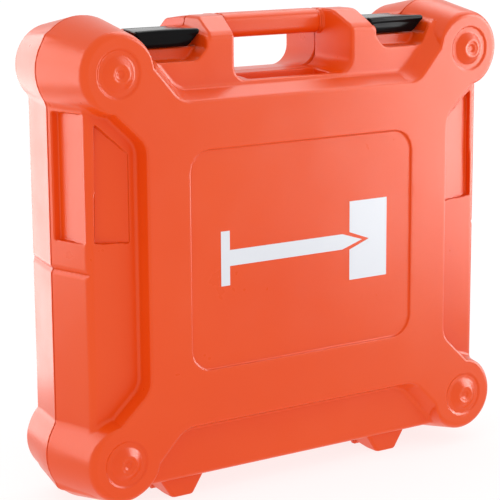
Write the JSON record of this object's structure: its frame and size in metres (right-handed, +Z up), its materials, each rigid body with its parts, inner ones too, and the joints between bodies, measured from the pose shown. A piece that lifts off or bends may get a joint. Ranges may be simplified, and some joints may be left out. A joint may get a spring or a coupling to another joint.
{
  "type": "moulded tool carrying case",
  "caption": "Hinged two-half moulded carrying case for a fastening tool, with a split carrying handle, black latches, round corner bosses and pocketed trays.",
  "frame": {"origin": "middle of the box's underside: on the seam plane, midway between the feet, on the surface the case stands on", "axes": "+X across the case to the right seen from the front, +Y towards the rear half, +Z up through the handle"},
  "size_m": [0.4608, 0.13, 0.4248],
  "materials": {
    "shell_plastic": "satin moulded orange-red plastic with a faint fine texture",
    "tray_plastic": "satin pressed orange-red sheet plastic, darker than the shells",
    "latch_plastic": "gloss black moulded plastic",
    "pin_steel": "plain drawn steel",
    "print_white": "satin white print"
  },
  "bodies": {
    "rear_half": {"rear_shell": "shell_plastic", "rear_tray": "tray_plastic", "latch_pin_left": "pin_steel", "latch_pin_right": "pin_steel", "hinge_pin_left": "pin_steel", "hinge_pin_right": "pin_steel"},
    "lid": {"front_shell": "shell_plastic", "front_tray": "tray_plastic", "front_mark": "print_white"},
    "left_latch": {"latch_left": "latch_plastic"},
    "right_latch": {"latch_right": "latch_plastic"}
  },
  "joints": [
    {"name": "lid_hinge", "type": "hinge", "parent": "rear_half", "child": "lid", "pos_m": [0, 0, 0.005], "axis": [1, 0, 0], "range_deg": [0, 140]},
    {"name": "left_latch_hinge", "type": "hinge", "parent": "rear_half", "child": "left_latch", "pos_m": [-0.122, 0.006, 0.407], "axis": [-1, 0, 0], "range_deg": [0, 100]},
    {"name": "right_latch_hinge", "type": "hinge", "parent": "rear_half", "child": "right_latch", "pos_m": [0.122, 0.006, 0.407], "axis": [-1, 0, 0], "range_deg": [0, 100]}
  ]
}
